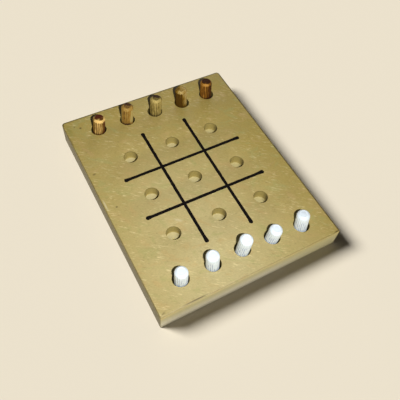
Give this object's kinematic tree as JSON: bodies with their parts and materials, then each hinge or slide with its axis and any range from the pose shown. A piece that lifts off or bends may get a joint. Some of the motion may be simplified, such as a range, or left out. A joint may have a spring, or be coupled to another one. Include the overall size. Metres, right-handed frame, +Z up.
{
  "type": "tic tac toe set",
  "caption": "Flat wooden peg board with a painted three by three grid of shallow playing holes and a row of loose fluted dowel pegs stored along each short edge.",
  "frame": {"origin": "centre of the board's underside", "axes": "+X along the rows of pegs, +Y from the white row to the brown row, +Z up out of the board's top face"},
  "size_m": [0.12, 0.15, 0.0295],
  "materials": {
    "board_wood": "thin satin varnish on pale tan fibreboard",
    "black_paint": "satin black paint film",
    "brown_wood": "brown stain, darker on the end grain",
    "white_paint": "glossy white paint over fluted wood"
  },
  "bodies": {
    "board": {"board": "board_wood", "grid_lines": "black_paint"},
    "brown_peg_1": {"brown_peg_1": "brown_wood"},
    "brown_peg_2": {"brown_peg_2": "brown_wood"},
    "brown_peg_3": {"brown_peg_3": "brown_wood"},
    "brown_peg_4": {"brown_peg_4": "brown_wood"},
    "brown_peg_5": {"brown_peg_5": "brown_wood"},
    "white_peg_1": {"white_peg_1": "white_paint"},
    "white_peg_2": {"white_peg_2": "white_paint"},
    "white_peg_3": {"white_peg_3": "white_paint"},
    "white_peg_4": {"white_peg_4": "white_paint"},
    "white_peg_5": {"white_peg_5": "white_paint"}
  },
  "joints": [
    {"name": "brown_peg_1_lift", "type": "slide", "parent": "board", "child": "brown_peg_1", "axis": [0.1045, -0.0347, 0.9939], "range_m": [0, 0.03]},
    {"name": "brown_peg_2_lift", "type": "slide", "parent": "board", "child": "brown_peg_2", "axis": [0.0523, -0.0174, 0.9985], "range_m": [0, 0.03]},
    {"name": "brown_peg_3_lift", "type": "slide", "parent": "board", "child": "brown_peg_3", "axis": [0.0349, -0.0174, 0.9992], "range_m": [0, 0.03]},
    {"name": "brown_peg_4_lift", "type": "slide", "parent": "board", "child": "brown_peg_4", "axis": [-0.0262, 0.0174, 0.9995], "range_m": [0, 0.03]},
    {"name": "brown_peg_5_lift", "type": "slide", "parent": "board", "child": "brown_peg_5", "axis": [-0.0436, 0.0262, 0.9987], "range_m": [0, 0.03]},
    {"name": "white_peg_1_lift", "type": "slide", "parent": "board", "child": "white_peg_1", "axis": [-0.0087, 0.0087, 0.9999], "range_m": [0, 0.03]},
    {"name": "white_peg_2_lift", "type": "slide", "parent": "board", "child": "white_peg_2", "axis": [-0.0523, 0.0436, 0.9977], "range_m": [0, 0.03]},
    {"name": "white_peg_3_lift", "type": "slide", "parent": "board", "child": "white_peg_3", "axis": [0.0349, -0.0349, 0.9988], "range_m": [0, 0.03]},
    {"name": "white_peg_4_lift", "type": "slide", "parent": "board", "child": "white_peg_4", "axis": [0.0436, -0.0523, 0.9977], "range_m": [0, 0.03]},
    {"name": "white_peg_5_lift", "type": "slide", "parent": "board", "child": "white_peg_5", "axis": [-0.0522, 0.0784, 0.9956], "range_m": [0, 0.03]}
  ]
}
